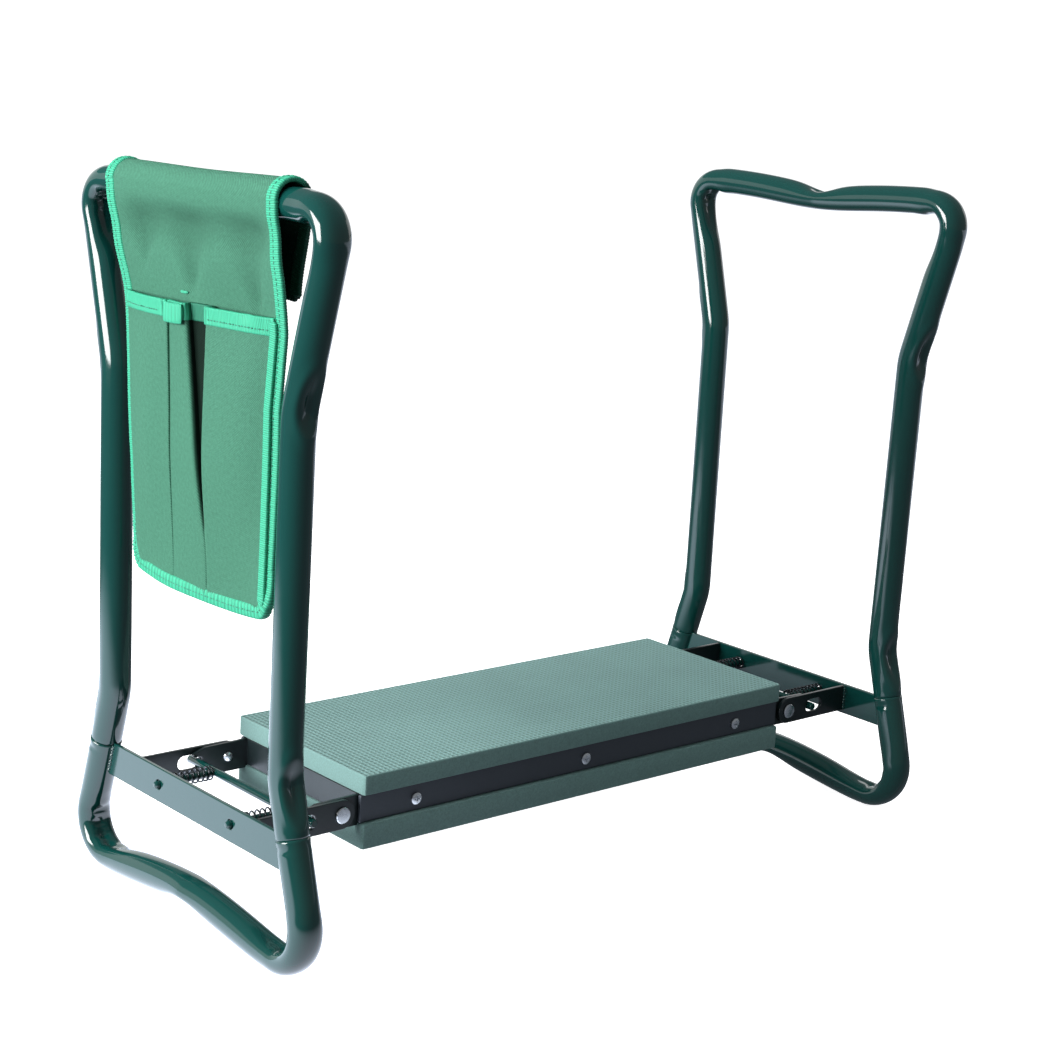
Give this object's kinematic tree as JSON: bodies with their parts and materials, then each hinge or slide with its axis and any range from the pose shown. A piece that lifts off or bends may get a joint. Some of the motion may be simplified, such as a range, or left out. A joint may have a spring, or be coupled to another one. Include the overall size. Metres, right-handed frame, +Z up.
{
  "type": "garden kneeler seat",
  "caption": "Folding garden kneeler and seat with tubular end frames, a foam pad on each face, spring-held lock rods and a cloth tool pouch.",
  "frame": {"origin": "on the floor, under the middle of the object", "axes": "+X along the seat, +Y across it away from the near side, +Z up with the seat in its low kneeling position"},
  "size_m": [0.5949, 0.284, 0.4926],
  "materials": {
    "enamel": "gloss",
    "dark_plate": "gloss",
    "rail": "satin",
    "core": "matte",
    "foam": "matte",
    "zinc": "satin",
    "spring_wire": "gloss",
    "cloth": "matte"
  },
  "bodies": {
    "seat": {"upper_pad": "foam", "lower_pad": "foam", "seat_core": "core", "side_rail_near": "rail", "side_rail_far": "rail", "rail_screw_near_left": "zinc", "rail_screw_near_middle": "zinc", "rail_screw_near_right": "zinc", "rail_screw_far_left": "zinc", "rail_screw_far_middle": "zinc", "rail_screw_far_right": "zinc", "left_end_bracket": "dark_plate", "right_end_bracket": "dark_plate", "left_pivot_rivet_near": "zinc", "left_pivot_rivet_far": "zinc", "right_pivot_rivet_near": "zinc", "right_pivot_rivet_far": "zinc"},
    "left_leg": {"left_handle_loop": "enamel", "left_foot_loop": "enamel", "left_crossbar": "enamel", "left_arm_near": "dark_plate", "left_arm_far": "dark_plate", "left_lock_spring_near": "spring_wire", "left_lock_spring_far": "spring_wire", "pouch_panel": "cloth", "pouch_pocket": "cloth"},
    "left_lock": {"left_lock_rod": "enamel", "left_guide_pin_near": "enamel", "left_guide_pin_far": "enamel"},
    "right_leg": {"right_handle_loop": "enamel", "right_foot_loop": "enamel", "right_crossbar": "enamel", "right_arm_near": "dark_plate", "right_arm_far": "dark_plate", "right_lock_spring_near": "spring_wire", "right_lock_spring_far": "spring_wire"},
    "right_lock": {"right_lock_rod": "enamel", "right_guide_pin_near": "enamel", "right_guide_pin_far": "enamel"}
  },
  "joints": [
    {"name": "left_leg_fold", "type": "hinge", "parent": "seat", "child": "left_leg", "pos_m": [-0.216, 0, 0.082], "axis": [0, 1, 0], "range_deg": [0, 93.5]},
    {"name": "right_leg_fold", "type": "hinge", "parent": "seat", "child": "right_leg", "pos_m": [0.216, 0, 0.082], "axis": [0, -1, 0], "range_deg": [0, 86.5]},
    {"name": "left_lock_slide", "type": "slide", "parent": "left_leg", "child": "left_lock", "axis": [-1, 0, 0], "range_m": [0, 0.009], "stiffness_N_per_m": 800, "springref_m": -0.01, "deforming": ["left_lock_spring_near", "left_lock_spring_far"]},
    {"name": "right_lock_slide", "type": "slide", "parent": "right_leg", "child": "right_lock", "axis": [1, 0, 0], "range_m": [0, 0.009], "stiffness_N_per_m": 800, "springref_m": -0.01, "deforming": ["right_lock_spring_near", "right_lock_spring_far"]}
  ]
}
